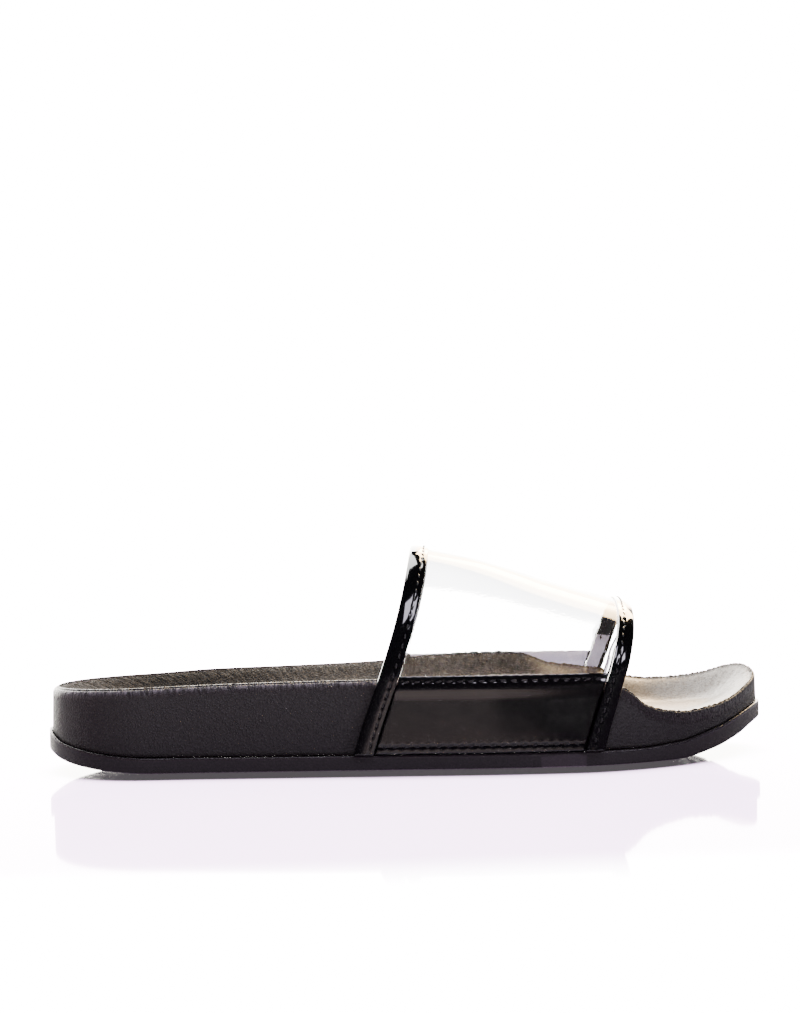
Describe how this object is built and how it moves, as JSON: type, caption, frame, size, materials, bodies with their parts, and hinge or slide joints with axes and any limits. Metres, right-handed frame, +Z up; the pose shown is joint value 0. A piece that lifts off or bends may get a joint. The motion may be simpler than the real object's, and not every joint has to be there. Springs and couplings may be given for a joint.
{
  "type": "slide sandal",
  "caption": "Right-foot backless open-toe slide sandal: dished moulded footbed on a cupped outsole, clear strap with glossy side panels and folded edge bindings.",
  "frame": {"origin": "middle of the bounding box's bottom, on the ground under the shoe", "axes": "+X to the toe, +Y to the big-toe side, +Z up from the ground"},
  "size_m": [0.2614, 0.0992, 0.0786],
  "materials": {
    "outsole_rubber": "smooth satin black rubber",
    "footbed_foam": "matt moulded foam with a fine leather grain",
    "clear_sheet": "clear glossy soft plastic",
    "patent": "high-gloss black patent"
  },
  "bodies": {
    "root": {"outsole": "outsole_rubber", "footbed": "footbed_foam", "vamp_clear": "clear_sheet", "side_panel_lateral": "patent", "side_panel_medial": "patent", "binding_rear": "patent", "binding_front": "patent"}
  },
  "joints": []
}
